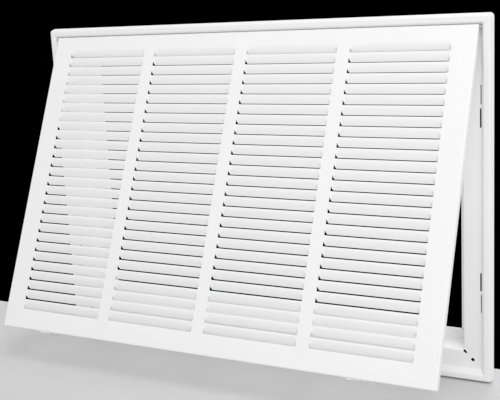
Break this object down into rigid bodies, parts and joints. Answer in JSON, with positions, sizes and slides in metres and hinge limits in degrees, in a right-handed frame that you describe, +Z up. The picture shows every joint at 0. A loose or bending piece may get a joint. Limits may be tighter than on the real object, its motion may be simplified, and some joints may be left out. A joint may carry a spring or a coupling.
{
  "type": "return air filter grille",
  "caption": "Folded steel wall frame with a filter well, and a louvred door hinged on pins at the top and held shut by sliding latches.",
  "frame": {"origin": "back of the mounting flange, on the wall plane, at mid-width of the frame's bottom side", "axes": "+Y into the wall, along the duct; +X along the frame's width, to the right as seen from the room; +Z up. The door stands open by 24.4 degrees towards -Y"},
  "size_m": [0.6762, 0.2306, 0.473],
  "materials": {
    "frame_coat": "satin white powder coat",
    "door_coat": "satin white powder coat",
    "latch_coat": "satin white powder coat",
    "plated_steel": "bright zinc plate"
  },
  "bodies": {
    "frame": {"outer_frame": "frame_coat", "hinge_pin_left": "plated_steel", "hinge_pin_right": "plated_steel"},
    "door": {"door_panel": "door_coat", "latch_rivet_left_1": "plated_steel", "latch_rivet_left_2": "plated_steel", "latch_rivet_right_1": "plated_steel", "latch_rivet_right_2": "plated_steel"},
    "left_latch": {"latch_left": "latch_coat"},
    "right_latch": {"latch_right": "latch_coat"}
  },
  "joints": [
    {"name": "door_hinge", "type": "hinge", "parent": "frame", "child": "door", "pos_m": [0, -0.0071, 0.42925], "axis": [-1, 0, 0], "range_deg": [-24.4, 65.6]},
    {"name": "latch_left_slide", "type": "slide", "parent": "door", "child": "left_latch", "axis": [1, 0, 0], "range_m": [0, 0.008]},
    {"name": "latch_right_slide", "type": "slide", "parent": "door", "child": "right_latch", "axis": [1, 0, 0], "range_m": [0, 0.008]}
  ]
}
